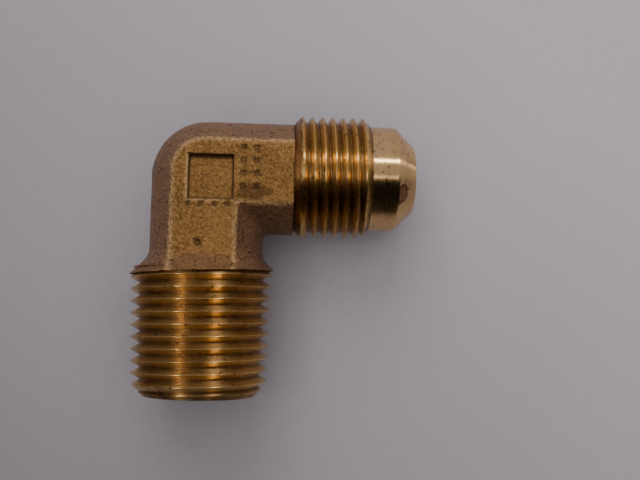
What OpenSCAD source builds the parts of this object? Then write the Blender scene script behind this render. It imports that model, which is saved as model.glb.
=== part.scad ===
// Ninety degree male elbow: tapered pipe thread on one port, 45 degree flare seat on the other.
// The real fitting is one forging. Its four sections here are split where the finish changes.
// Frame: origin where the two bore axes cross, +X out of the flare port, -Y out of the pipe port.

/* [Reach] */
// From the crossing of the bores to the end of the pipe port
pipe_reach = 34.3; // [33:0.1:45]
// From the crossing of the bores to the rim of the flare seat
flare_reach = 32.6; // [31:0.1:42]

/* [Forged body] */
// Width of each arm across its parting line
arm_width = 17.6; // [17:0.1:19.5]
// Height of the body from flat to flat
body_height = 16.4; // [16:0.1:18]
// Width of the flat on top of each arm
flat_width = 9.2; // [7.5:0.1:10.5]
// Height of the upright band along each side
side_band = 5; // [3:0.1:7]
// Rounding where the side band meets the slope
side_round = 2.4; // [1:0.1:3]
// Rounding along the edge of the flat
flat_round = 0.7; // [0.3:0.1:1]
// How far the forging sits towards the inside of the bend
body_shift = 0.5; // [0:0.1:0.8]

/* [Pipe thread] */
// Length of the threaded pipe section
pipe_thread_length = 18.9; // [15:0.1:20]
// Diameter over the crests at the small end
pipe_small_d = 20.715; // [20.4:0.005:21.2]
// Thread pitch of the pipe port
pipe_pitch = 1.8143; // [1.7:0.0001:1.9]
// Depth of the pipe thread
pipe_thread_depth = 1.45; // [1.2:0.01:1.5]
// How far the collar stands out past the crests at the large end
collar_margin = 0.2; // [0.1:0.05:0.8]
// Bore of the pipe port
pipe_bore_d = 13.5; // [11:0.1:14]

/* [Flare port] */
// Major diameter of the flare thread
flare_thread_d = 19; // [18.8:0.01:19.3]
// Thread pitch of the flare port
flare_pitch = 1.5875; // [1.5:0.0001:1.65]
// Depth of the flare thread
flare_thread_depth = 0.97; // [0.8:0.01:1]
// Distance from the crossing to the start of the flare thread section
flare_shoulder = 13.9; // [13.7:0.1:16]
// Length of the threaded flare section
flare_thread_length = 11.8; // [9:0.1:12.5]
// How far the plain pilot sits below the root of the flare thread
pilot_relief = 0.33; // [0.2:0.01:0.6]
// Bore of the flare port
flare_bore_d = 9.9; // [8:0.1:10.5]
// Width of the flat rim round the mouth of the flare bore
rim_land = 0.3; // [0.2:0.05:0.8]

/* [Forging marks] */
// Side of the square recess on the top flat
recess_side = 6.6; // [5:0.1:7]
// Depth of the square recess
recess_depth = 0.35; // [0.1:0.05:0.6]
// Side of each small square pit
pit_side = 0.75; // [0.4:0.05:1]
// Depth of each small square pit
pit_depth = 0.2; // [0.1:0.05:0.4]
// Spacing between neighbouring pits
pit_gap = 1.95; // [1.6:0.05:2.2]

/* [Hidden] */

// Colours of the forged skin and of the turned ends
FORGED = [0.66, 0.49, 0.25];
TURNED = [0.78, 0.58, 0.26];

// How far a cutter runs past the face it cuts
cut_past = 0.5;
// Smoothness of round walls
$fn = 96;

// Half sizes of the arms
arm_half = arm_width / 2;
flat_half = flat_width / 2;
height_half = body_height / 2;
band_half = side_band / 2;

// Steps in the arc of each rounded corner
round_steps = 6;

// Ends of the sections
pipe_shoulder = pipe_reach - pipe_thread_length;
flare_thread_end = flare_shoulder + flare_thread_length;
seat_angle = 45;
pilot_d = flare_thread_d - 2 * (flare_thread_depth + pilot_relief);
seat_rim_d = flare_bore_d + 2 * rim_land;
seat_length = (pilot_d - seat_rim_d) / 2 / tan(seat_angle);
seat_start = flare_reach - seat_length;

// Pipe taper: one in sixteen on the diameter
taper = 1 / 16;

// The forged cone that leads out to the pipe thread. It is centred on the forging, so it starts
// level with the arm, and it is turned down to the collar's diameter about the port's axis.
collar_slope = 45;
collar_d = pipe_small_d + taper * pipe_thread_length + 2 * collar_margin;
collar_foot_r = min(arm_half, height_half);
collar_rise = (collar_d / 2 - collar_foot_r) / tan(collar_slope);

// The turned cone that leads up to the first crest of the flare thread
flare_lead_drop = 0.9;
flare_lead_r = flare_thread_d / 2 - flare_lead_drop;

// Drill points where the bores end inside the body
drill_half_angle = 59;
pipe_bore_top = 1.5;
pipe_tip = pipe_bore_d / 2 / tan(drill_half_angle);
flare_tip = flare_bore_d / 2 / tan(drill_half_angle);

// Ends of the threads. The envelope clears the crests by crest_clearance and cuts the end
// of each thread down to just off its root.
crest_clearance = 0.1;
root_clearance = 0.1;
flare_crest_r = flare_thread_d / 2 + crest_clearance;
pipe_end_chamfer = 0.9;
pipe_end_r = pipe_small_d / 2 - pipe_thread_depth + root_clearance;
pipe_lip_r = pipe_end_r - pipe_end_chamfer / 2;
flare_end_r = flare_thread_d / 2 - flare_thread_depth - root_clearance;

// The chamfer in the pipe port's mouth takes at most half of the lip it is cut in
wanted_mouth_chamfer = 0.5;
mouth_chamfer = min(wanted_mouth_chamfer, (pipe_lip_r - pipe_bore_d / 2) / 2);

// Marks go at most a third of the way through the wall over the pipe bore
mark_limit = (height_half - pipe_bore_d / 2) / 3;
recess_sink = min(recess_depth, mark_limit);
pit_sink = min(pit_depth, mark_limit);

// Where the marks sit, from the inner edge of the flat
mark_inset = 0.3;
flare_pits_start = 1.5;
pipe_pits_start = 0.8;
flare_pit_columns = 2;
flare_pit_rows = 4;
pipe_pit_columns = 4;

// Turns of thread cut away behind each shoulder, which sets where its first crest shows
pipe_thread_lead = 2.38;
flare_thread_lead = 2.04;
// Turns of thread beyond the length of the section, cut away at its two ends
spare_turns = 3;

// Facets in each turn of a thread
turn_steps = 48;
// Share of the pitch left flat at the crest of each thread
pipe_crest_flat = 0.06;
flare_crest_flat = 0.125;
flare_root_flat = 0.15;
pipe_root_flat = 0.06;

function unit(v) = v / norm(v);

// One corner of a polygon, replaced by an arc of radius r
function corner_arc(before, here, after, r) =
    let (
        to_before = unit(before - here),
        to_after = unit(after - here),
        half = acos(to_before * to_after) / 2,
        centre = here + unit(to_before + to_after) * r / sin(half),
        from = here + to_before * r / tan(half) - centre,
        to = here + to_after * r / tan(half) - centre,
        sweep = 180 - 2 * half
    )
    [for (i = [0:round_steps])
        centre + (from * sin(sweep * (1 - i / round_steps))
            + to * sin(sweep * i / round_steps)) / sin(sweep)];

// Right half of an arm's cross-section, from the bottom centre to the top centre
function half_section() =
    let (
        low_flat = [flat_half, -height_half],
        low_side = [arm_half, -band_half],
        high_side = [arm_half, band_half],
        high_flat = [flat_half, height_half]
    )
    concat(
        [[0, -height_half]],
        corner_arc([0, -height_half], low_flat, low_side, flat_round),
        corner_arc(low_flat, low_side, high_side, side_round),
        corner_arc(low_side, high_side, high_flat, side_round),
        corner_arc(high_side, high_flat, [0, height_half], flat_round),
        [[0, height_half]]
    );

function mirrored(points) = [for (i = [len(points) - 1:-1:0]) [-points[i][0], points[i][1]]];

// Whole cross-section: the right half, then the left half from top to bottom
function full_section() =
    let (half = half_section(), other = mirrored(half), last = len(other) - 1)
    concat(half, [for (i = [1:last - 1]) other[i]]);

// Puts a shape drawn along +Z onto the pipe port's axis, running out along -Y
module along_pipe() {
    rotate([90, 0, 0]) children();
}

// Puts a shape drawn along +Z onto the flare port's axis, running out along +X
module along_flare() {
    rotate([0, 90, 0]) children();
}

// Both bores, with their drill points
module bores() {
    along_pipe() rotate_extrude() polygon([
        [0, -pipe_bore_top - pipe_tip],
        [pipe_bore_d / 2, -pipe_bore_top],
        [pipe_bore_d / 2, pipe_reach + cut_past],
        [0, pipe_reach + cut_past]
    ]);
    along_flare() rotate_extrude() polygon([
        [0, -flare_tip],
        [flare_bore_d / 2, 0],
        [flare_bore_d / 2, flare_reach + cut_past],
        [0, flare_reach + cut_past]
    ]);
}

// The two arms and the rounded heel between them
module forged_arms() {
    translate([body_shift, -body_shift, 0]) {
        rotate([90, 0, 0])
            linear_extrude(height = pipe_shoulder - body_shift)
                polygon(full_section());
        rotate([90, 0, 90])
            linear_extrude(height = flare_shoulder - body_shift)
                polygon(full_section());
        rotate([0, 0, 90])
            rotate_extrude(angle = 90)
                polygon(half_section());
    }
}

// The forged cone that widens out to the pipe thread
module forged_collar() {
    along_pipe() intersection() {
        translate([body_shift, 0, 0]) rotate_extrude() polygon([
            [0, pipe_shoulder - collar_rise],
            [collar_foot_r, pipe_shoulder - collar_rise],
            [collar_d / 2, pipe_shoulder],
            [0, pipe_shoulder]
        ]);
        cylinder(d = collar_d, h = pipe_shoulder + cut_past);
    }
}

// A square cutter sunk into the top flat, placed by its centre
module square_pit(x, y, side, depth) {
    translate([x - side / 2, y - side / 2, height_half - depth])
        cube([side, side, depth + cut_past]);
}

// The plain recess and the rows of small pits on the top flat
module forging_marks() {
    inner_edge = body_shift + flat_half - mark_inset;
    recess_middle = inner_edge - recess_side / 2;
    square_pit(recess_middle, -recess_middle, recess_side, recess_sink);
    for (column = [0:flare_pit_columns - 1]) {
        for (row = [0:flare_pit_rows - 1]) {
            square_pit(
                inner_edge + flare_pits_start + column * pit_gap,
                row * pit_gap - inner_edge + pit_gap,
                pit_side,
                pit_sink
            );
        }
    }
    for (column = [0:pipe_pit_columns - 1]) {
        square_pit(
            inner_edge - pit_side - column * pit_gap,
            -inner_edge - pipe_pits_start,
            pit_side,
            pit_sink
        );
    }
}

module forged_elbow() {
    color(FORGED) difference() {
        union() {
            forged_arms();
            forged_collar();
        }
        bores();
        forging_marks();
    }
}

// Points of one helical thread, a profile at each step of the turn.
// Each profile runs root, crest start, crest end, root start of the next turn.
function thread_points(turns, pitch, start, small_r, depth, slope, crest, root) =
    [for (i = [0:turns * turn_steps])
        for (k = [0:3])
            let (
                share = [0, (1 - crest - root) / 2, (1 + crest - root) / 2, 1 - root][k],
                z = start + pitch * (i / turn_steps + share),
                crest_here = small_r - slope * z,
                r = (k == 1 || k == 2) ? crest_here : crest_here - depth,
                angle = 360 * i / turn_steps
            )
            [r * cos(angle), r * sin(angle), z]];

// Two triangles for the patch between four points
function patch(a, b, c, d) = [[a, b, c], [a, c, d]];

// A solid threaded rod with its axis on Z
module threaded_rod(turns, pitch, start, small_r, depth, slope, crest, root) {
    ring = thread_points(turns, pitch, start, small_r, depth, slope, crest, root);
    last = turns * turn_steps;
    bottom = len(ring);
    top = bottom + 1;
    points = concat(ring, [[0, 0, start - pitch], [0, 0, start + pitch * (turns + 2)]]);
    flanks = [for (i = [0:last - 1]) for (k = [0:2])
        each patch(4 * i + k, 4 * i + k + 1, 4 * i + k + 5, 4 * i + k + 4)];
    roots = [for (i = [0:last - turn_steps - 1])
        each patch(4 * i + 3, 4 * (i + turn_steps), 4 * (i + turn_steps + 1), 4 * i + 7)];
    first_cap = [for (i = [0:turn_steps - 1]) [bottom, 4 * i, 4 * (i + 1)]];
    first_step = [for (k = [0:2]) [bottom, k + 1, k]];
    first_join = [[bottom, 4 * turn_steps, 3]];
    edge = last - turn_steps;
    last_cap = [for (i = [edge:last - 1]) [top, 4 * i + 7, 4 * i + 3]];
    last_step = [for (k = [0:2]) [top, 4 * last + k, 4 * last + k + 1]];
    last_join = [[top, 4 * edge + 3, 4 * last]];
    polyhedron(
        points,
        concat(flanks, roots, first_cap, first_step, first_join, last_cap, last_step, last_join)
    );
}

// Small-end crest radius carried back to the origin, for a crest that narrows along the port
pipe_crest_r = pipe_small_d / 2 + taper / 2 * pipe_reach;

module pipe_thread() {
    turns = ceil(pipe_thread_length / pipe_pitch) + spare_turns;
    color(TURNED) along_pipe() intersection() {
        threaded_rod(
            turns,
            pipe_pitch,
            pipe_shoulder - pipe_thread_lead * pipe_pitch,
            pipe_crest_r,
            pipe_thread_depth,
            taper / 2,
            pipe_crest_flat,
            pipe_root_flat
        );
        rotate_extrude() polygon([
            [pipe_bore_d / 2, pipe_shoulder],
            [collar_d / 2, pipe_shoulder],
            [collar_d / 2, pipe_reach - pipe_end_chamfer - (collar_d / 2 - pipe_end_r)],
            [pipe_end_r, pipe_reach - pipe_end_chamfer / 2],
            [pipe_lip_r, pipe_reach],
            [pipe_bore_d / 2 + mouth_chamfer, pipe_reach],
            [pipe_bore_d / 2, pipe_reach - mouth_chamfer]
        ]);
    }
}

module flare_thread() {
    turns = ceil(flare_thread_length / flare_pitch) + spare_turns;
    color(TURNED) along_flare() intersection() {
        threaded_rod(
            turns,
            flare_pitch,
            flare_shoulder - flare_thread_lead * flare_pitch,
            flare_thread_d / 2,
            flare_thread_depth,
            0,
            flare_crest_flat,
            flare_root_flat
        );
        rotate_extrude() polygon([
            [flare_bore_d / 2, flare_shoulder],
            [flare_lead_r, flare_shoulder],
            [flare_crest_r, flare_shoulder + flare_crest_r - flare_lead_r],
            [flare_crest_r, flare_thread_end - (flare_crest_r - flare_end_r)],
            [flare_end_r, flare_thread_end],
            [flare_bore_d / 2, flare_thread_end]
        ]);
    }
}

module flare_nose() {
    color(TURNED) along_flare() rotate_extrude() polygon([
        [flare_bore_d / 2, flare_thread_end],
        [pilot_d / 2, flare_thread_end],
        [pilot_d / 2, seat_start],
        [seat_rim_d / 2, flare_reach],
        [flare_bore_d / 2, flare_reach]
    ]);
}

forged_elbow();
pipe_thread();
flare_thread();
flare_nose();
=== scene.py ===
"""Looks of the right-angle flare fitting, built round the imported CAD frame.

Metres, in the row frame: the bores cross at the origin, +X runs out of the flare port,
-Y out of the pipe port and +Z out of the marked flat.
"""

import math

import bmesh
import bpy
import numpy as np
from mathutils import Matrix, Vector


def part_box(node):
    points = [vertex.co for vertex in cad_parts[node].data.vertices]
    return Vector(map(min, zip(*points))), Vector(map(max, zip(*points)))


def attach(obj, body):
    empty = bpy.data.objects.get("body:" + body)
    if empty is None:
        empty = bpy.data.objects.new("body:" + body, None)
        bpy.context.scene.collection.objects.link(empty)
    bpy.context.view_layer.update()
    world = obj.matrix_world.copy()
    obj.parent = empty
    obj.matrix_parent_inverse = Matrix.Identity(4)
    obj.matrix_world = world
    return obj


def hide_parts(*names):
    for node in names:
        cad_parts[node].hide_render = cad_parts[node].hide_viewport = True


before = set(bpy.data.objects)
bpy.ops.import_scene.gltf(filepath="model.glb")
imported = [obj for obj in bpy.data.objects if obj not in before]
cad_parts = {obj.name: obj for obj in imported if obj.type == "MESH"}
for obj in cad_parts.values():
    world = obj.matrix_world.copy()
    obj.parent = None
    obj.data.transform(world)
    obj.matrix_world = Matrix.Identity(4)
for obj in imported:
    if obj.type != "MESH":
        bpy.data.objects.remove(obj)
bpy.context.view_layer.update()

MM = 0.001

# Sizes in millimetres that the frame's own boxes give
_elbow_lo, _elbow_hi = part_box("forged_elbow")
_pipe_lo, _pipe_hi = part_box("pipe_thread")
_flare_lo, _flare_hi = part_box("flare_thread")
_nose_lo, _nose_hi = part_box("flare_nose")
PIPE_REACH = -_pipe_lo[1] / MM
PIPE_SHOULDER = -_elbow_lo[1] / MM
FLARE_SHOULDER = _flare_lo[0] / MM
FLARE_THREAD_END = _flare_hi[0] / MM
FLARE_REACH = _nose_hi[0] / MM
PILOT_R = _nose_hi[2] / MM
COLLAR_R = _elbow_hi[2] / MM

# Sizes of the forging and its bores that the boxes don't give. The forging stands off the ports'
# axes by SHIFT, towards +X and -Y.
SHIFT = 0.5
ARM_HALF = 8.8
FLAT_HALF = 4.6
HEIGHT_HALF = 8.2
BAND_HALF = 2.5
PIPE_BORE_R = 6.75
FLARE_BORE_R = 4.95
PIPE_BORE_TOP = 1.5
FLARE_DRILL_SLOPE = math.tan(math.radians(31))
PIPE_DRILL_SLOPE = 1.66 * FLARE_DRILL_SLOPE

# Threads: the pipe thread's depth and taper are on the radius
FLARE_R = 9.5
PIPE_PITCH = 1.8143
PIPE_SMALL_R = 20.715 / 2
PIPE_DEPTH = 1.45
PIPE_TAPER = 1 / 32
FLARE_PITCH = 1.5875
FLARE_DEPTH = 0.97


# ---------------------------------------------------------------- noise


def smooth_noise(points, scale, seed):
    """Value noise in [-1, 1] at points (n, 3) in mm, with features about scale mm across."""
    size = 64
    lattice = np.random.RandomState(seed).uniform(-1, 1, (size, size, size)).astype(np.float32)
    p = points / scale + size * 8
    cell = np.floor(p).astype(np.int64)
    t = (p - cell).astype(np.float32)
    t = t * t * (3 - 2 * t)
    out = np.zeros(len(points), np.float32)
    for corner in range(8):
        dx, dy, dz = corner & 1, (corner >> 1) & 1, (corner >> 2) & 1
        weight = (
            (t[:, 0] if dx else 1 - t[:, 0])
            * (t[:, 1] if dy else 1 - t[:, 1])
            * (t[:, 2] if dz else 1 - t[:, 2])
        )
        out += weight * lattice[
            (cell[:, 0] + dx) % size, (cell[:, 1] + dy) % size, (cell[:, 2] + dz) % size
        ]
    return out


# ---------------------------------------------------------------- the forging, as a distance field


def smooth_max(a, b, k):
    """The larger of two fields, blended over a band k wide."""
    h = np.clip(0.5 + 0.5 * (a - b) / k, 0, 1)
    return b + (a - b) * h + k * h * (1 - h)


def smooth_min(a, b, k):
    return -smooth_max(-a, -b, k)


def box_distance(p, centre, half, rounding):
    """Distance to a box with rounded edges."""
    q = np.abs(p - np.array(centre, np.float32)) - (np.array(half, np.float32) - rounding)
    outside = np.linalg.norm(np.maximum(q, 0), axis=1)
    return outside + np.minimum(q.max(axis=1), 0) - rounding


# How widely the forging's faces blend into each other
INNER_BLEND = 1.1
SIDE_BLEND = 1.9
FLAT_BLEND = 0.75
COLLAR_BLEND = 0.8
TURNED_BLEND = 0.12
MARK_BLEND = 0.07

# How far past the shoulder the collar's edge runs, on the port's axis
COLLAR_DROP = 0.1

# Skin left by the die and the grit, as height, size across and seed: waves, lumps, then grain
SKIN = ((0.05, 2.6, 3), (0.030, 0.9, 5), (0.034, 0.42, 7))
# The skin has this share of its height on the sides, and all of it from FLAT_FROM to the flats
SIDE_SKIN = 0.55
FLAT_FROM = 6.5
FLAT_FADE = 1.2

# Marks on the top flat. INNER_EDGE is how far they keep from both ports' axes at the inner corner,
# and each cutter is how far its centre is above the flat, its half depth and its rounding.
MARKED_ABOVE = 6
INNER_EDGE = SHIFT + FLAT_HALF - 0.3
RECESS_HALF = 3.3
RECESS_MIDDLE = (INNER_EDGE - RECESS_HALF, RECESS_HALF - INNER_EDGE)
RECESS_TILT = 0.035
RECESS_CUTTER = (0.7, 1.10, 0.05)
PIT_HALF = 0.4
PIT_GAP = 1.95
PIT_CUTTER = (0.3, 0.56, 0.08)
DENT = (-0.2, -11.3)
DENT_R = 0.75
DENT_LIFT = 0.35


def arm_distance(x, y, z):
    """The two arms and the round heel between them, before the collars and the bores."""
    ax, ay = x - SHIFT, y + SHIFT
    across_pipe, across_flare = np.abs(ax), np.abs(ay)
    heel = np.hypot(ax, ay)
    inner = smooth_min(across_pipe, across_flare, INNER_BLEND)
    u = np.where(ay > 0, np.where(ax > 0, across_flare, heel), np.where(ax > 0, inner, across_pipe))
    v = np.abs(z)
    run, rise = ARM_HALF - FLAT_HALF, HEIGHT_HALF - BAND_HALF
    long = math.hypot(run, rise)
    slope = (u - FLAT_HALF) * rise / long + (v - HEIGHT_HALF) * run / long
    side = smooth_max(slope, u - ARM_HALF, SIDE_BLEND)
    return smooth_max(side, v - HEIGHT_HALF, FLAT_BLEND)


def pit_places():
    """The x and y of each square pit: two columns beside the recess and a row below it."""
    places = []
    for column in range(2):
        for row in range(4):
            places.append((INNER_EDGE + 1.5 + column * PIT_GAP, row * PIT_GAP - INNER_EDGE + PIT_GAP))
    for column in range(4):
        places.append((INNER_EDGE - 0.75 - column * PIT_GAP, -INNER_EDGE - 0.8))
    return places


def collar_end(x):
    """Lowest y of the collar at each x: the forging's offset slants its edge."""
    return -PIPE_SHOULDER - COLLAR_DROP + SHIFT * x / COLLAR_R


def cutter_distance(p, middle, half, lift, half_depth, rounding):
    """Distance to a square cutter whose centre is lift above the top flat."""
    return box_distance(p, (*middle, HEIGHT_HALF + lift), (half, half, half_depth), rounding)


def forging_distance(p):
    """Distance to the forging's surface at points (n, 3) in mm, negative inside the metal."""
    x, y, z = p[:, 0], p[:, 1], p[:, 2]
    body = arm_distance(x, y, z)
    round_pipe, round_flare = np.hypot(x, z), np.hypot(y, z)

    # forged cone out to the pipe thread, centred on the forging and turned down about the port
    cone = (np.hypot(x - SHIFT, z) - COLLAR_R + y + PIPE_SHOULDER + COLLAR_DROP) * math.sqrt(0.5)
    cone = smooth_max(cone, round_pipe - COLLAR_R, TURNED_BLEND)
    body = smooth_min(body, cone, COLLAR_BLEND)

    skin = sum(height * smooth_noise(p, across, seed) for height, across, seed in SKIN)
    flat = np.clip((np.abs(z) - FLAT_FROM) / FLAT_FADE, 0, 1)
    body = body + skin * (SIDE_SKIN + (1 - SIDE_SKIN) * flat)

    # plain recess and square pits in the top flat, and one small dent
    top = z > MARKED_ABOVE
    q = p[top]
    tilted = q.copy()
    tilted[:, 2] += RECESS_TILT * (q[:, 1] - RECESS_MIDDLE[1])
    marks = cutter_distance(tilted, RECESS_MIDDLE, RECESS_HALF, *RECESS_CUTTER)
    for place in pit_places():
        marks = np.minimum(marks, cutter_distance(q, place, PIT_HALF, *PIT_CUTTER))
    ball = np.array([*DENT, HEIGHT_HALF + DENT_LIFT], np.float32)
    marks = np.minimum(marks, np.linalg.norm(q - ball, axis=1) - DENT_R)
    body[top] = smooth_max(body[top], -marks, MARK_BLEND)

    # machined ends and the two bores. The cone meets the turned diameter along a slanted line
    body = np.maximum(body, collar_end(x) - y)
    body = np.maximum(body, x - FLARE_SHOULDER)
    pipe_tip = (y - PIPE_BORE_TOP - (PIPE_BORE_R - round_pipe) * PIPE_DRILL_SLOPE) * 0.7
    flare_tip = (-x - (FLARE_BORE_R - round_flare) * FLARE_DRILL_SLOPE) * 0.85
    pipe_bore = np.maximum(round_pipe - PIPE_BORE_R, pipe_tip)
    flare_bore = np.maximum(round_flare - FLARE_BORE_R, flare_tip)
    return np.maximum(body, -np.minimum(pipe_bore, flare_bore))


def surface_nets(distance, low, high, step):
    """A quad mesh on the zero surface of a distance function: (vertices, quads)."""
    low, high = np.array(low, np.float32), np.array(high, np.float32)
    count = np.ceil((high - low) / step).astype(int) + 1
    axes = [low[i] + step * np.arange(count[i], dtype=np.float32) for i in range(3)]
    field = np.empty(count, np.float32)
    plane_y, plane_z = np.meshgrid(axes[1], axes[2], indexing="ij")
    block = 8
    for start in range(0, count[0], block):
        xs = axes[0][start:start + block]
        grid = np.empty((len(xs), count[1], count[2], 3), np.float32)
        grid[..., 0] = xs[:, None, None]
        grid[..., 1] = plane_y[None]
        grid[..., 2] = plane_z[None]
        field[start:start + block] = distance(grid.reshape(-1, 3)).reshape(grid.shape[:3])
    inside = field < 0

    corners = [(i & 1, (i >> 1) & 1, (i >> 2) & 1) for i in range(8)]
    total = np.zeros(count - 1, np.int8)
    for cx, cy, cz in corners:
        total += inside[cx:count[0] - 1 + cx, cy:count[1] - 1 + cy, cz:count[2] - 1 + cz]
    cells = np.argwhere((total > 0) & (total < 8))
    at = [cells + corner for corner in corners]
    values = np.stack([field[c[:, 0], c[:, 1], c[:, 2]] for c in at], 1)
    place = np.zeros((len(cells), 3), np.float32)
    hits = np.zeros(len(cells), np.float32)
    for a in range(8):
        for bit in (1, 2, 4):
            b = a | bit
            if b == a:
                continue
            va, vb = values[:, a], values[:, b]
            crossed = (va < 0) != (vb < 0)
            share = np.where(crossed, va / np.where(crossed, va - vb, 1), 0)
            ca, cb = np.array(corners[a]), np.array(corners[b])
            place += np.where(crossed[:, None], ca + share[:, None] * (cb - ca), 0)
            hits += crossed
    verts = low + step * (cells + place / hits[:, None])

    number = np.full(count - 1, -1, np.int64)
    number[cells[:, 0], cells[:, 1], cells[:, 2]] = np.arange(len(cells))
    quads = []
    for axis in range(3):
        here = [slice(0, n) for n in count]
        there = list(here)
        here[axis], there[axis] = slice(0, count[axis] - 1), slice(1, count[axis])
        a, b = inside[tuple(here)], inside[tuple(there)]
        edges = np.argwhere(a != b)
        p, q = (axis + 1) % 3, (axis + 2) % 3
        edges = edges[(edges[:, p] > 0) & (edges[:, q] > 0)]
        edges = edges[(edges[:, p] < count[p] - 1) & (edges[:, q] < count[q] - 1)]
        flip = ~inside[edges[:, 0], edges[:, 1], edges[:, 2]]
        ring = []
        for dp, dq in ((0, 0), (-1, 0), (-1, -1), (0, -1)):
            c = edges.copy()
            c[:, p] += dp
            c[:, q] += dq
            ring.append(number[c[:, 0], c[:, 1], c[:, 2]])
        ring = np.stack(ring, 1)
        ring[flip] = ring[flip][:, ::-1]
        quads.append(ring)
    return verts, np.concatenate(quads)


# ---------------------------------------------------------------- meshes


def mesh_object(name, verts, faces, smooth=True):
    """A mesh object from vertices in mm and a list or array of faces."""
    mesh = bpy.data.meshes.new(name)
    mesh.from_pydata((np.asarray(verts) * MM).tolist(), [], [list(map(int, f)) for f in faces])
    mesh.validate()
    mesh.update()
    if smooth:
        mesh.polygons.foreach_set("use_smooth", np.ones(len(mesh.polygons), bool))
    obj = bpy.data.objects.new(name, mesh)
    bpy.context.scene.collection.objects.link(obj)
    return obj


def thread_profile(phase, crest, root):
    """Height of the thread, 0 at the root and 1 at the crest, at a phase of the pitch."""
    phase = np.abs((phase + 0.5) % 1.0 - 0.5)
    flank = (0.5 - (crest + root) / 2)
    raw = 1 - (phase - crest / 2) / flank
    raw = smooth_min(raw, np.ones_like(raw), CREST_BLEND)
    return smooth_max(raw, np.zeros_like(raw), CREST_BLEND)


# How softly a crest or root turns into its flank, as a share of the thread's height
CREST_BLEND = 0.035
# How far wear moves a crest in or out, in mm, and the sizes across of its two layers of noise
CREST_WEAR = 0.022
WEAR_ACROSS = (2.2, 0.7)
TURN_STEPS = 192


def threaded_body(
    name, start, end, pitch, crest_at, plain, crest_radius, depth, envelope, crest, root, tail, seed
):
    """One threaded sleeve about +Z in mm: rows follow the helix, clamped to the two ends.

    crest_at is where a crest crosses angle 0; with plain, there is no groove before that crest.
    crest and root are the widths of their lands as shares of the pitch.
    tail is the closing profile past the end, and back through the bore to the start, as (radius, z).
    """
    # where the rows stand along half a pitch: close together at the crest and the root
    half = [0, .25 * crest, .5 * crest, .5 * crest + .02, .5 * crest + .05, .2, .3, .4]
    half += [.45 - .5 * root, .48 - .5 * root, .5 - .5 * root, .5 - .25 * root]
    shares = np.array(half + [.5] + [1 - share for share in half[:0:-1]])
    per_turn = len(shares)
    base = crest_at - (math.ceil((crest_at - start) / pitch) + 2) * pitch
    turns = math.ceil((end - base) / pitch) + 2
    rows = turns * per_turn
    k = np.arange(rows)
    theta = np.arange(TURN_STEPS) / TURN_STEPS
    axial = base + pitch * (k[:, None] // per_turn + shares[k % per_turn][:, None] + theta[None, :])
    z = np.clip(axial, start, end)
    helix = (z - base) / pitch - theta[None, :]
    angle = 2 * np.pi * theta[None, :] + np.zeros_like(z)
    crest_r = crest_radius(z)
    height = thread_profile(helix, crest, root)
    if plain:
        height = np.where(helix < round((crest_at - base) / pitch), 1.0, height)
    probe = np.stack([crest_r * np.cos(angle), crest_r * np.sin(angle), z], -1).reshape(-1, 3)
    broad = smooth_noise(probe, WEAR_ACROSS[0], seed).reshape(z.shape)
    small = smooth_noise(probe, WEAR_ACROSS[1], seed + 1).reshape(z.shape)
    wear = broad * 0.5 + small * 0.5
    radius = crest_r - depth * (1 - height) + CREST_WEAR * wear * height
    radius = np.minimum(radius, envelope(z))
    verts = np.stack([radius * np.cos(angle), radius * np.sin(angle), z], -1)

    # the profile past the end and back to the start, as plain rings
    turn = angle[0]
    rings = [
        np.stack([r * np.cos(turn), r * np.sin(turn), np.full(TURN_STEPS, h)], -1) for r, h in tail
    ]
    grid = verts.reshape(-1, 3)
    offset = len(grid)
    points = np.concatenate([grid] + rings)

    faces = []
    for row in range(rows - 1):
        for i in range(TURN_STEPS):
            # past the last column the helix has risen by one turn
            j = (i + 1) % TURN_STEPS
            rise = per_turn if j == 0 else 0
            if row + 1 + rise >= rows:
                continue
            four = [(row, i), (row + rise, j), (row + 1 + rise, j), (row + 1, i)]
            heights = [axial[corner] for corner in four]
            if max(heights) <= start or min(heights) >= end:
                continue
            faces.append([line * TURN_STEPS + column for line, column in four])
    # first and last clamped vertex of each column join the plain rings
    columns = range(TURN_STEPS)
    first = [int(np.max(np.nonzero(axial[:, i] <= start)[0])) * TURN_STEPS + i for i in columns]
    last = [int(np.min(np.nonzero(axial[:, i] >= end)[0])) * TURN_STEPS + i for i in columns]
    plain_loops = [[offset + r * TURN_STEPS + i for i in columns] for r in range(len(rings))]
    loops = [last, *plain_loops, first]
    for a, b in zip(loops, loops[1:]):
        for i in range(TURN_STEPS):
            j = (i + 1) % TURN_STEPS
            faces.append((a[i], a[j], b[j], b[i]))
    obj = mesh_object(name, points, faces)
    clean(obj)
    return obj


def clean(obj):
    """Welds doubled points, drops faces with no area and makes the normals agree."""
    bm = bmesh.new()
    bm.from_mesh(obj.data)
    bmesh.ops.remove_doubles(bm, verts=bm.verts, dist=2e-6)
    bmesh.ops.dissolve_degenerate(bm, edges=bm.edges, dist=1e-6)
    loose = [v for v in bm.verts if not v.link_faces]
    bmesh.ops.delete(bm, geom=loose, context="VERTS")
    bmesh.ops.recalc_face_normals(bm, faces=bm.faces)
    bm.to_mesh(obj.data)
    bm.free()
    obj.data.polygons.foreach_set("use_smooth", np.ones(len(obj.data.polygons), bool))
    obj.data.update()


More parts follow.
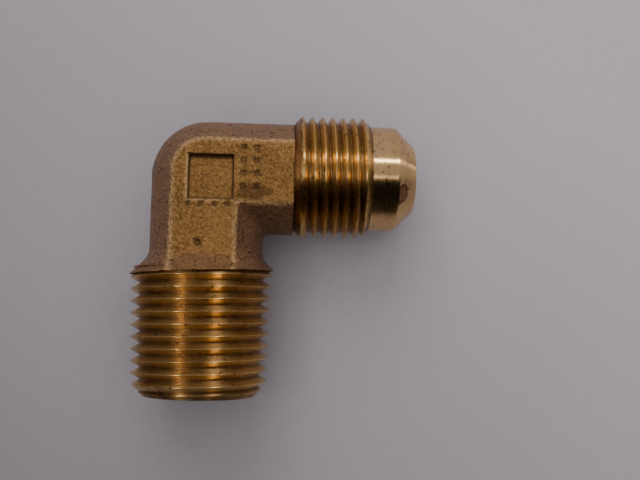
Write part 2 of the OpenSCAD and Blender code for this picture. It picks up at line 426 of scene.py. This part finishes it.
def lathe(name, profile, steps):
    """A closed body of revolution about +Z from a closed profile of (radius, z) in mm."""
    angle = 2 * np.pi * np.arange(steps) / steps
    prof = np.array(profile, float)
    n = len(prof)
    verts = np.stack([
        prof[:, None, 0] * np.cos(angle)[None], prof[:, None, 0] * np.sin(angle)[None],
        prof[:, None, 1] + 0 * angle[None]], -1).reshape(-1, 3)
    faces = []
    for a in range(n):
        b = (a + 1) % n
        for i in range(steps):
            j = (i + 1) % steps
            faces.append((a * steps + i, a * steps + j, b * steps + j, b * steps + i))
    obj = mesh_object(name, verts, faces)
    clean(obj)
    return obj


def onto_flare(obj):
    """Turns a body drawn along +Z onto +X."""
    obj.data.transform(Matrix(((0, 0, 1, 0), (0, 1, 0, 0), (-1, 0, 0, 0), (0, 0, 0, 1))))


def onto_pipe(obj):
    """Turns a body drawn along +Z onto -Y."""
    obj.data.transform(Matrix(((1, 0, 0, 0), (0, 0, -1, 0), (0, 1, 0, 0), (0, 0, 0, 1))))


def sharpen(obj, degrees):
    """Marks edges sharper than an angle, so smooth shading stops at them."""
    obj.data.set_sharp_from_angle(angle=math.radians(degrees))


def rounded(corners, steps=8):
    """A closed profile from (r, z, radius of the rounding) at each corner."""
    out = []
    n = len(corners)
    for i in range(n):
        here = np.array(corners[i][:2], float)
        size = corners[i][2]
        before = np.array(corners[i - 1][:2], float)
        after = np.array(corners[(i + 1) % n][:2], float)
        a, b = before - here, after - here
        la, lb = np.linalg.norm(a), np.linalg.norm(b)
        a, b = a / la, b / lb
        cosine = float(np.clip(a @ b, -1, 1))
        half = math.acos(cosine) / 2
        if size <= 0 or half > math.radians(88.5):
            out.append(tuple(here))
            continue
        reach = min(size / math.tan(half), 0.45 * la, 0.45 * lb)
        size = reach * math.tan(half)
        centre = here + (a + b) / np.linalg.norm(a + b) * size / math.sin(half)
        start, stop = here + a * reach - centre, here + b * reach - centre
        sweep = math.pi - 2 * half
        for s in range(steps + 1):
            t = s / steps
            arc = start * math.sin(sweep * (1 - t)) + stop * math.sin(sweep * t)
            out.append(tuple(centre + arc / math.sin(sweep)))
    return out


# ---------------------------------------------------------------- materials


class Nodes:
    """A short way to write a node tree."""

    def __init__(self, name):
        self.material = bpy.data.materials.new(name)
        self.material.use_nodes = True
        self.tree = self.material.node_tree
        self.tree.nodes.clear()
        self.out = self.tree.nodes.new("ShaderNodeOutputMaterial")
        self.shader = self.tree.nodes.new("ShaderNodeBsdfPrincipled")
        self.link(self.shader.outputs[0], self.out.inputs[0])
        self.place = self.tree.nodes.new("ShaderNodeTexCoord").outputs["Object"]

    def link(self, a, b):
        self.tree.links.new(a, b)

    def new(self, kind, **inputs):
        node = self.tree.nodes.new(kind)
        for key, value in inputs.items():
            self.feed(node.inputs[key.replace("_", " ")], value)
        return node

    def feed(self, socket, value):
        if hasattr(value, "is_linked"):
            self.link(value, socket)
        else:
            socket.default_value = value

    def math(self, operation, a, b=0.0, clamp=False):
        node = self.tree.nodes.new("ShaderNodeMath")
        node.operation = operation
        node.use_clamp = clamp
        self.feed(node.inputs[0], a)
        self.feed(node.inputs[1], b)
        return node.outputs[0]

    def noise(self, scale, detail=3.0, rough=0.55, vector=None):
        node = self.new("ShaderNodeTexNoise", Scale=scale, Detail=detail, Roughness=rough)
        self.link(vector or self.place, node.inputs["Vector"])
        return node.outputs["Fac"]

    def ramp(self, value, stops):
        node = self.tree.nodes.new("ShaderNodeValToRGB")
        self.link(value, node.inputs[0])
        marks = node.color_ramp.elements
        while len(marks) < len(stops):
            marks.new(0.5)
        for mark, (at, colour) in zip(marks, stops):
            mark.position = at
            mark.color = (*colour, 1) if len(colour) == 3 else colour
        return node.outputs[0]

    def grey(self, value, stops):
        return self.ramp(value, [(at, (v, v, v)) for at, v in stops])

    def mix(self, factor, a, b):
        node = self.tree.nodes.new("ShaderNodeMix")
        node.data_type = "RGBA"
        self.feed(node.inputs["Factor"], factor)
        for socket, value in ((node.inputs[6], a), (node.inputs[7], b)):
            self.feed(socket, (*value, 1) if isinstance(value, tuple) and len(value) == 3 else value)
        return node.outputs[2]

    def vector(self, operation, a, b=None):
        node = self.tree.nodes.new("ShaderNodeVectorMath")
        node.operation = operation
        self.link(a, node.inputs[0])
        if b is not None:
            node.inputs[1].default_value = b
        return node

    def attribute(self, name):
        """The value that the mesh stores at each point under a name."""
        node = self.tree.nodes.new("ShaderNodeAttribute")
        node.attribute_name = name
        return node.outputs["Fac"]

    def spot(self, centre, radii, warp):
        """1 inside a ragged patch at a point of the surface in mm, 0 outside it."""
        moved = self.vector("SUBTRACT", self.place, [c * MM for c in centre])
        stretch = self.vector("MULTIPLY", moved.outputs[0], [1 / (r * MM) for r in radii])
        length = self.vector("LENGTH", stretch.outputs[0])
        torn = self.math("MULTIPLY", self.noise(1100, 3, 0.6), warp)
        ragged = self.math("MULTIPLY", self.math("ADD", length.outputs["Value"], torn), 0.5)
        return self.grey(ragged, [(0.44 + warp / 4, 1.0), (0.50 + warp / 4, 0.0)])

    def bump(self, height, distance, strength=1.0, normal=None):
        node = self.new("ShaderNodeBump", Strength=strength, Distance=distance)
        self.link(height, node.inputs["Height"])
        if normal is not None:
            self.link(normal, node.inputs["Normal"])
        return node.outputs[0]

    def split(self, vector=None):
        node = self.tree.nodes.new("ShaderNodeSeparateXYZ")
        self.link(vector or self.place, node.inputs[0])
        return node.outputs

    def join(self, x, y, z):
        node = self.tree.nodes.new("ShaderNodeCombineXYZ")
        for socket, value in zip(node.inputs, (x, y, z)):
            self.feed(socket, value)
        return node.outputs[0]

    def set(self, **values):
        for key, value in values.items():
            self.feed(self.shader.inputs[key.replace("_", " ")], value)


# Colours of the dirt that the stains, the pits and the specks hold, with the painted shadow in the recess,
# the painted shade at the flare thread's shoulder and the painted highlight on the recess's rims
SOOT_AND_SHADOW = (0.035, 0.015, 0.008)
SPECK = (0.05, 0.022, 0.012)
STAIN = (0.10, 0.045, 0.018)
CORNER_STAIN = (0.10, 0.044, 0.018)
TURNED_SPECK = (0.06, 0.022, 0.010)
TURNED_STAIN_AND_SHADE = (0.20, 0.07, 0.025)
RUBBED_AND_HIGHLIGHT = (0.78, 0.50, 0.23)


def forged_brass():
    """Grit-blasted forging skin: gold flats, oxide on the sides, rubbed edges, dirt in the marks, with a
    painted shadow in the recess and a painted highlight on two of its rims.
    """
    n = Nodes("forged_brass_look")
    broad = n.noise(150, 4, 0.6)
    middle = n.noise(2300, 4, 0.68)
    fine = n.noise(5200, 3, 0.65)
    gold = n.ramp(broad, [
        (0.32, (0.24, 0.125, 0.036)), (0.5, (0.34, 0.182, 0.054)), (0.70, (0.44, 0.240, 0.074))])
    skin = n.ramp(middle, [
        (0.34, (0.07, 0.034, 0.014)), (0.48, (0.28, 0.140, 0.044)), (0.64, (0.62, 0.37, 0.140))])
    gold = n.mix(0.45, gold, skin)
    # the sides keep a dull reddish oxide that the flats have lost
    geometry = n.tree.nodes.new("ShaderNodeNewGeometry")
    _, _, up = n.split(geometry.outputs["Normal"])
    side = n.grey(n.math("ABSOLUTE", up), [(0.55, 1.0), (0.97, 0.0)])
    oxide = n.ramp(middle, [(0.3, (0.21, 0.115, 0.075)), (0.7, (0.36, 0.21, 0.135))])
    colour = n.mix(n.math("MULTIPLY", side, 0.72), gold, oxide)
    # edges of the flats are rubbed bright, and the recess's left and lower rims carry a painted highlight
    rubbed_and_highlight = n.math("MULTIPLY", n.attribute("edge_wear_and_highlight"), n.grey(middle, [(0.35, 0.2), (0.6, 1.0)]))
    colour = n.mix(n.math("MULTIPLY", rubbed_and_highlight, 0.9), colour, RUBBED_AND_HIGHLIGHT)
    # dirt in the pits, in the recess's corners and round the dent, and a painted shadow along the recess's
    # top wall
    colour = n.mix(n.math("MULTIPLY", n.attribute("mark_dirt_and_shadow"), 0.9), colour, SOOT_AND_SHADOW)
    # dark specks, a few stains, and one stain where the flats meet in the inner corner
    speck = n.grey(n.noise(2100, 3, 0.6), [(0.375, 1.0), (0.44, 0.0)])
    speck = n.math("MULTIPLY", speck, n.math("ADD", 0.5, n.math("MULTIPLY", side, 0.35)))
    colour = n.mix(speck, colour, SPECK)
    stain = n.grey(n.noise(330, 5, 0.7), [(0.60, 0.0), (0.68, 1.0)])
    colour = n.mix(n.math("MULTIPLY", stain, 0.6), colour, STAIN)
    corner = n.spot((7.9, -3.6, 8.0), (2.7, 1.1, 2.5), 1.9)
    colour = n.mix(n.math("MULTIPLY", corner, 0.62), colour, CORNER_STAIN)
    n.set(Base_Color=colour, Metallic=0.92)
    rough = n.grey(middle, [(0.2, 0.36), (0.8, 0.52)])
    n.set(Roughness=n.math("SUBTRACT", rough, n.math("MULTIPLY", rubbed_and_highlight, 0.10)))
    normal = n.bump(n.noise(2300, 5, 0.74), 0.00030, 1.0)
    normal = n.bump(fine, 0.00007, 0.9, normal)
    n.set(Normal=normal)
    return n.material


def turned_brass(name, axis, root_r, crest_r, taper, colours, dark, rough, dark_share, spread, spots=()):
    """Turned brass about one axis ("pipe" or "flare"): tool lines round it, tarnish in the roots.

    Dirt goes from full at root_r to none half way to crest_r, in mm where the taper starts. spread,
    from 0 to 1, stretches the gloss along the axis, and spots are stains and patches of painted shade as
    (centre, radii) in mm.
    """
    n = Nodes(name)
    x, y, z = n.split()
    if axis == "pipe":
        along, p, q = n.math("MULTIPLY", y, -1.0), x, z
    else:
        along, p, q = x, y, z
    radius = n.math("SQRT", n.math("ADD", n.math("MULTIPLY", p, p), n.math("MULTIPLY", q, q)))
    level = n.math("ADD", radius, n.math("MULTIPLY", along, taper))
    above_root = n.math("SUBTRACT", level, root_r * MM)
    depth = n.math("DIVIDE", above_root, (crest_r - root_r) * MM, clamp=True)
    angle = n.math("ARCTAN2", q, p)
    tool_path = n.join(
        n.math("MULTIPLY", along, 9000.0), n.math("MULTIPLY", angle, 0.7), n.math("MULTIPLY", radius, 5000.0))
    lines = n.noise(1.0, 3, 0.6, tool_path)
    broad = n.noise(190, 4, 0.6)
    patch = n.noise(700, 3, 0.6)
    colour = n.ramp(broad, [(0.3, colours[0]), (0.52, colours[1]), (0.72, colours[2])])
    grime = n.grey(depth, [(0.0, 1.0), (0.18, 0.75), (0.55, 0.0)])
    grime = n.math("MULTIPLY", grime, n.grey(patch, [(0.25, 0.55), (0.7, 1.0)]), clamp=True)
    colour = n.mix(n.math("MULTIPLY", grime, dark_share), colour, dark)
    stain = n.grey(n.noise(420, 5, 0.7), [(0.58, 0.0), (0.68, 1.0)])
    colour = n.mix(n.math("MULTIPLY", stain, 0.45), colour, dark)
    speck = n.grey(n.noise(1900, 2, 0.6), [(0.345, 1.0), (0.39, 0.0)])
    speck = n.math("MULTIPLY", speck, n.grey(n.noise(260, 2, 0.5), [(0.40, 0.0), (0.50, 1.0)]))
    colour = n.mix(n.math("MULTIPLY", speck, 0.85), colour, TURNED_SPECK)
    dirt_and_shade = n.math("MULTIPLY", grime, 0.15)
    for centre, radii in spots:
        # each spot is darker at its rim
        spot = n.spot(centre, radii, 0.9)
        middle = n.spot(centre, [r * 0.72 for r in radii], 0.9)
        spot = n.math("SUBTRACT", spot, n.math("MULTIPLY", middle, 0.45))
        colour = n.mix(n.math("MULTIPLY", spot, 0.85), colour, TURNED_STAIN_AND_SHADE)
        dirt_and_shade = n.math("ADD", dirt_and_shade, n.math("MULTIPLY", spot, 0.12))
    n.set(Base_Color=colour, Metallic=1.0, Anisotropic=spread, Anisotropic_Rotation=0.25)
    tangent = n.tree.nodes.new("ShaderNodeTangent")
    tangent.direction_type = "RADIAL"
    tangent.axis = "Y" if axis == "pipe" else "X"
    n.link(tangent.outputs[0], n.shader.inputs["Tangent"])
    n.set(Roughness=n.math("ADD", n.grey(lines, [(0.3, rough[0]), (0.7, rough[1])]), dirt_and_shade))
    normal = n.bump(lines, 0.000010, 0.6)
    n.set(Normal=n.bump(n.noise(2400, 3, 0.6), 0.00001, 0.5, normal))
    return n.material


def floor_material():
    """Matt paper grey, paler towards +X and +Y as a painted light falloff."""
    n = Nodes("floor_look")
    x, y, _ = n.split()
    # painted light falloff: the colour runs darker towards -X and -Y
    lean = n.math("ADD", n.math("MULTIPLY", x, 5.5), n.math("MULTIPLY", y, 6.0))
    lean = n.math("ADD", lean, 0.45, clamp=True)
    soft = n.noise(26, 4, 0.6)
    fine = n.noise(900, 3, 0.6)
    colour = n.ramp(lean, [(0.0, (0.128, 0.114, 0.120)), (1.0, (0.35, 0.318, 0.334))])
    colour = n.mix(n.math("MULTIPLY", soft, 0.22), colour, (0.19, 0.17, 0.182))
    colour = n.mix(n.math("MULTIPLY", fine, 0.14), colour, (0.17, 0.152, 0.163))
    n.set(Base_Color=colour)
    n.set(Roughness=n.grey(fine, [(0.3, 0.5), (0.7, 0.7)]))
    n.set(Normal=n.bump(fine, 0.0001, 0.25))
    return n.material


# ---------------------------------------------------------------- build the pieces


def give(obj, material):
    obj.data.materials.clear()
    obj.data.materials.append(material)


# Points above this height are on the top flat's marks
ON_TOP = 7


def add_wear_and_highlight(obj, verts):
    """Stores how close each point is to the rubbed edge of a flat, and a painted highlight on two rims of the
    recess, from 0 to 1.
    """
    x, y, z = verts[:, 0] - SHIFT, verts[:, 1] + SHIFT, np.abs(verts[:, 2])
    inner = np.minimum(np.abs(x), np.abs(y))
    across = np.where((x > 0) & (y > 0), np.abs(y), np.where(x > 0, inner, np.abs(x)))
    across = np.where((x <= 0) & (y > 0), np.hypot(x, y), across)
    near = np.exp(-((across - FLAT_HALF - 0.15) / 0.38) ** 2) * np.clip((z - 7.2) / 0.5, 0, 1)
    # the left and lower rims of the recess get a painted highlight
    right, below, edge = recess_edges(verts)
    rim = np.exp(-((edge - 0.28) / 0.2) ** 2) * np.maximum(right < -RECESS_HALF, below)
    rim = rim * (verts[:, 2] > ON_TOP)
    near = np.maximum(near, 0.8 * rim)
    store(obj, "edge_wear_and_highlight", near)


def recess_edges(verts):
    """Where points stand against the recess: x from its middle, whether below it, and how far outside."""
    x, y = verts[:, 0] - RECESS_MIDDLE[0], verts[:, 1] - RECESS_MIDDLE[1]
    return x, y < -RECESS_HALF, np.maximum(np.abs(x), np.abs(y)) - RECESS_HALF


def add_mark_dirt_and_shadow(obj, verts):
    """Stores how much dirt lies in the corners of the recess and in the pits, with a painted shadow along the
    recess's top wall, from 0 to 1.
    """
    x, _, edge = recess_edges(verts)
    upper = verts[:, 1] - RECESS_MIDDLE[1] - RECESS_HALF
    dirt_and_shade = 0.8 * np.exp(-((edge + 0.06) / 0.14) ** 2)
    # painted shadow along the inside of the recess's top wall
    dirt_and_shade = np.maximum(dirt_and_shade, np.exp(-((upper + 0.28) / 0.34) ** 4) * (np.abs(x) < RECESS_HALF))
    for px, py in pit_places():
        pit = np.maximum(np.abs(verts[:, 0] - px), np.abs(verts[:, 1] - py))
        dirt_and_shade = np.maximum(dirt_and_shade, 0.55 * np.exp(-(pit / 0.38) ** 4))
    dent = np.hypot(verts[:, 0] - DENT[0], verts[:, 1] - DENT[1])
    dirt_and_shade = np.maximum(dirt_and_shade, 0.75 * np.exp(-((dent - 0.3) / 0.3) ** 2))
    store(obj, "mark_dirt_and_shadow", dirt_and_shade * (verts[:, 2] > ON_TOP))


def store(obj, name, values):
    """Keeps one value for each point of a mesh, for its material to read."""
    obj.data.attributes.new(name, "FLOAT", "POINT").data.foreach_set("value", values.astype(np.float32))


# Cell of the forging's mesh, and the space round it that the search covers
CELL = 0.17
MARGIN = 0.6


def build_forging():
    left = min(-ARM_HALF + SHIFT - MARGIN, -COLLAR_R - MARGIN)
    low = (left, -PIPE_SHOULDER - COLLAR_DROP - SHIFT - MARGIN, -COLLAR_R - MARGIN)
    high = (FLARE_SHOULDER + MARGIN, ARM_HALF - SHIFT + MARGIN, COLLAR_R + MARGIN)
    verts, quads = surface_nets(forging_distance, low, high, CELL)
    # the machined end faces are flat
    verts[:, 1] = np.maximum(verts[:, 1], collar_end(verts[:, 0]))
    verts[:, 0] = np.minimum(verts[:, 0], FLARE_SHOULDER)
    obj = mesh_object("forged_elbow_skin", verts, quads)
    add_wear_and_highlight(obj, verts)
    add_mark_dirt_and_shadow(obj, verts)
    sharpen(obj, 50)
    give(obj, forged_brass())
    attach(obj, "root")
    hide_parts("forged_elbow")
    return obj


# Chamfers on the pipe thread's end face, outside and in the bore
PIPE_LIP = 0.45
PIPE_MOUTH = 0.5
# Where the threads' first crests cross the port's reference angle, past each shoulder
PIPE_FIRST_CREST = 0.163
FLARE_FIRST_CREST = 0.614
THREAD_SHARP_DEG = 38


def build_pipe_thread():
    root_end = PIPE_SMALL_R - PIPE_DEPTH + 0.1
    start = PIPE_SHOULDER - 0.6

    def crest_radius(s):
        return PIPE_SMALL_R + PIPE_TAPER * (PIPE_REACH - s)

    def envelope(s):
        chamfer = root_end + (PIPE_REACH - PIPE_LIP - s)
        limit = COLLAR_R - 0.02 + 0 * s
        lip = root_end - (s - (PIPE_REACH - PIPE_LIP))
        return np.where(s > PIPE_REACH - PIPE_LIP, lip, np.minimum(limit, chamfer))

    tail = [
        (root_end - PIPE_LIP - 0.12, PIPE_REACH),
        (PIPE_BORE_R + PIPE_MOUTH, PIPE_REACH),
        (PIPE_BORE_R, PIPE_REACH - PIPE_MOUTH),
        (PIPE_BORE_R, start),
    ]
    obj = threaded_body(
        "pipe_thread_turned", start, PIPE_REACH, PIPE_PITCH, PIPE_SHOULDER + PIPE_FIRST_CREST, False,
        crest_radius, PIPE_DEPTH, envelope, 0.05, 0.045, tail, 21)
    onto_pipe(obj)
    sharpen(obj, THREAD_SHARP_DEG)
    amber = ((0.54, 0.33, 0.115), (0.66, 0.42, 0.155), (0.78, 0.52, 0.210))
    crest_r = PIPE_SMALL_R + PIPE_TAPER * PIPE_REACH
    give(obj, turned_brass(
        "pipe_thread_look", "pipe", PIPE_SMALL_R - PIPE_DEPTH + PIPE_TAPER * PIPE_REACH, crest_r, PIPE_TAPER,
        amber, (0.13, 0.042, 0.018), (0.30, 0.40), 0.75, 0.90))
    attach(obj, "root")
    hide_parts("pipe_thread")
    return obj


# How far below the crests the flare thread's turned cone starts, at the shoulder
FLARE_LEAD_DROP = 1.1


def build_flare_thread():
    def crest_radius(s):
        return FLARE_R + 0 * s

    def envelope(s):
        lead = FLARE_R - FLARE_LEAD_DROP + s - FLARE_SHOULDER
        chamfer = PILOT_R + 0.02 + FLARE_THREAD_END - s
        return np.minimum(np.minimum(lead, chamfer), FLARE_R + 0.05)

    tail = [(FLARE_BORE_R, FLARE_THREAD_END), (FLARE_BORE_R, FLARE_SHOULDER)]
    obj = threaded_body(
        "flare_thread_turned", FLARE_SHOULDER, FLARE_THREAD_END, FLARE_PITCH,
        FLARE_SHOULDER + FLARE_FIRST_CREST, True, crest_radius, FLARE_DEPTH, envelope, 0.11, 0.10, tail, 31)
    onto_flare(obj)
    sharpen(obj, THREAD_SHARP_DEG)
    gold = ((0.54, 0.31, 0.095), (0.64, 0.39, 0.130), (0.74, 0.48, 0.180))
    # the cone before the first crest is darkened all round, as painted shade in the corner against the
    # shoulder
    lead_shade = ((FLARE_SHOULDER, 0, 0), (1.2, 20, 20))
    give(obj, turned_brass(
        "flare_thread_look", "flare", FLARE_R - FLARE_DEPTH, FLARE_R, 0.0,
        gold, (0.10, 0.036, 0.016), (0.26, 0.38), 0.85, 0.85, [lead_shade]))
    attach(obj, "root")
    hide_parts("flare_thread")
    return obj


def build_nose():
    """The pilot and the 45 degree seat, with a narrow land round the bore."""
    rim = FLARE_BORE_R + 0.3
    seat_start = FLARE_REACH - (PILOT_R - rim)
    corners = [
        (FLARE_BORE_R, FLARE_THREAD_END, 0),
        (PILOT_R, FLARE_THREAD_END, 0),
        (PILOT_R, seat_start, 0.55),
        (rim, FLARE_REACH, 0.12),
        (FLARE_BORE_R, FLARE_REACH, 0.1),
    ]
    obj = lathe("flare_nose_turned", rounded(corners), 256)
    onto_flare(obj)
    sharpen(obj, 32)
    pale = ((0.62, 0.38, 0.165), (0.74, 0.47, 0.215), (0.82, 0.54, 0.265))
    # no roots here, so no dirt in them, and one stain on the seat
    stain = ((30.4, -3.3, 7.0), (1.1, 1.9, 1.5))
    give(obj, turned_brass(
        "flare_nose_look", "flare", 2.0, 3.0, 0.0, pale, (0.35, 0.20, 0.09), (0.25, 0.30), 0.0, 1.0, [stain]))
    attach(obj, "root")
    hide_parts("flare_nose")
    return obj


build_forging()
build_pipe_thread()
build_flare_thread()
build_nose()


# ---------------------------------------------------------------- floor, light and camera


# Half the floor's side, in mm
FLOOR_HALF = 2500.0


def add_floor():
    """A plain sheet that touches the collar, the end of the pipe thread and the flare thread."""
    rest = [
        Vector((0, -PIPE_SHOULDER - 1, -COLLAR_R + 0.15)),
        Vector((0, -PIPE_REACH + 1.5, -10.35)),
        Vector((24.5, 0, -FLARE_R)),
    ]
    across = (rest[1] - rest[0]).cross(rest[2] - rest[0]).normalized()
    if across.z < 0:
        across = -across
    corners = [(x * FLOOR_HALF, y * FLOOR_HALF, 0) for x, y in ((-1, -1), (1, -1), (1, 1), (-1, 1))]
    obj = mesh_object("floor", corners, [(0, 1, 2, 3)], False)
    turn = Vector((0, 0, 1)).rotation_difference(across).to_matrix().to_4x4()
    obj.matrix_world = Matrix.Translation(rest[0] * MM) @ turn
    give(obj, floor_material())


# How far the lights stand from the point they are aimed at, in metres
DISTANCE = 0.55
AIM = Vector((0.008, -0.008, 0))


def lamp(name, lean_x, lean_y, size, power, colour, size_y):
    """An area light aimed at the part, leaning from overhead by the two angles in degrees."""
    x, y = math.tan(math.radians(lean_x)), math.tan(math.radians(lean_y))
    data = bpy.data.lights.new(name, "AREA")
    data.shape = "RECTANGLE"
    data.size = size
    data.size_y = size_y
    data.energy = power
    data.color = colour
    obj = bpy.data.objects.new(name, data)
    obj.location = Vector((x, y, 1)).normalized() * DISTANCE + AIM
    obj.rotation_mode = "QUATERNION"
    obj.rotation_quaternion = (AIM - obj.location).to_track_quat("-Z", "Y")
    bpy.context.scene.collection.objects.link(obj)
    return obj


# Strength of the room's light on the camera's side and on the bright side
WORLD_DARK = 0.012
WORLD_BRIGHT = 0.50
# Towards the bright side, and how far that way the light takes to reach its full strength
BRIGHT_SIDE = (0.0, 0.996, 0.09)
BRIGHT_FROM = 0.22


def add_world():
    """Soft room light: bright above and behind (+Y), dark on the side the camera stands on (-Y)."""
    world = bpy.data.worlds.new("studio")
    world.use_nodes = True
    tree = world.node_tree
    back = tree.nodes["Background"]
    place = tree.nodes.new("ShaderNodeTexCoord")
    lean = tree.nodes.new("ShaderNodeVectorMath")
    lean.operation = "DOT_PRODUCT"
    lean.inputs[1].default_value = BRIGHT_SIDE
    tree.links.new(place.outputs["Generated"], lean.inputs[0])
    ramp = tree.nodes.new("ShaderNodeMapRange")
    ramp.interpolation_type = "SMOOTHSTEP"
    ramp.inputs["From Min"].default_value = 0.0
    ramp.inputs["From Max"].default_value = BRIGHT_FROM
    ramp.inputs["To Min"].default_value = WORLD_DARK
    ramp.inputs["To Max"].default_value = WORLD_BRIGHT
    tree.links.new(lean.outputs["Value"], ramp.inputs["Value"])
    tree.links.new(ramp.outputs[0], back.inputs[1])
    back.inputs[0].default_value = (0.97, 0.95, 1.0, 1)
    bpy.context.scene.world = world


# Camera: focal length as a share of the frame's width, turn in degrees and offset in mm
FOCAL_SHARE = 1.328125
SENSOR = 36.0
TURN_DEG = (-4.735, -3.027, 1.357)
OFFSET_MM = (-18.042, -10.309, 133.768)


def add_camera():
    turn = Vector([math.radians(t) for t in TURN_DEG])
    rot = Matrix.Rotation(turn.length, 3, turn.normalized())
    flip = Matrix(((1, 0, 0), (0, -1, 0), (0, 0, -1)))
    back = flip @ rot.transposed()
    place = -(back @ Vector(OFFSET_MM)) * MM
    axes = Matrix([back @ Vector(way) for way in ((1, 0, 0), (0, -1, 0), (0, 0, -1))]).transposed()
    data = bpy.data.cameras.new("camera")
    data.sensor_width = SENSOR
    data.lens = FOCAL_SHARE * SENSOR
    data.clip_start, data.clip_end = 0.005, 10.0
    cam = bpy.data.objects.new("camera", data)
    cam.matrix_world = Matrix.Translation(place) @ axes.to_4x4()
    bpy.context.scene.collection.objects.link(cam)
    bpy.context.scene.camera = cam


add_floor()
add_world()

# The two small lamps are seen only as highlights in the metal; the window and the fill light only
# what is matt
LAMP = (1.0, 0.94, 0.86)
for light in (
    lamp("lamp_left", -32, -1.5, 0.035, 0.88, LAMP, 0.03),
    lamp("lamp_right", 32, 35.7, 0.035, 1.25, LAMP, 0.03),
):
    light.visible_diffuse = False
lamp("window", -14, 50, 0.42, 2.2, (0.97, 0.97, 1.0), 0.30).visible_glossy = False
lamp("fill", 0, -8, 0.9, 4.4, (0.98, 0.97, 1.0), 0.9).visible_glossy = False
add_camera()
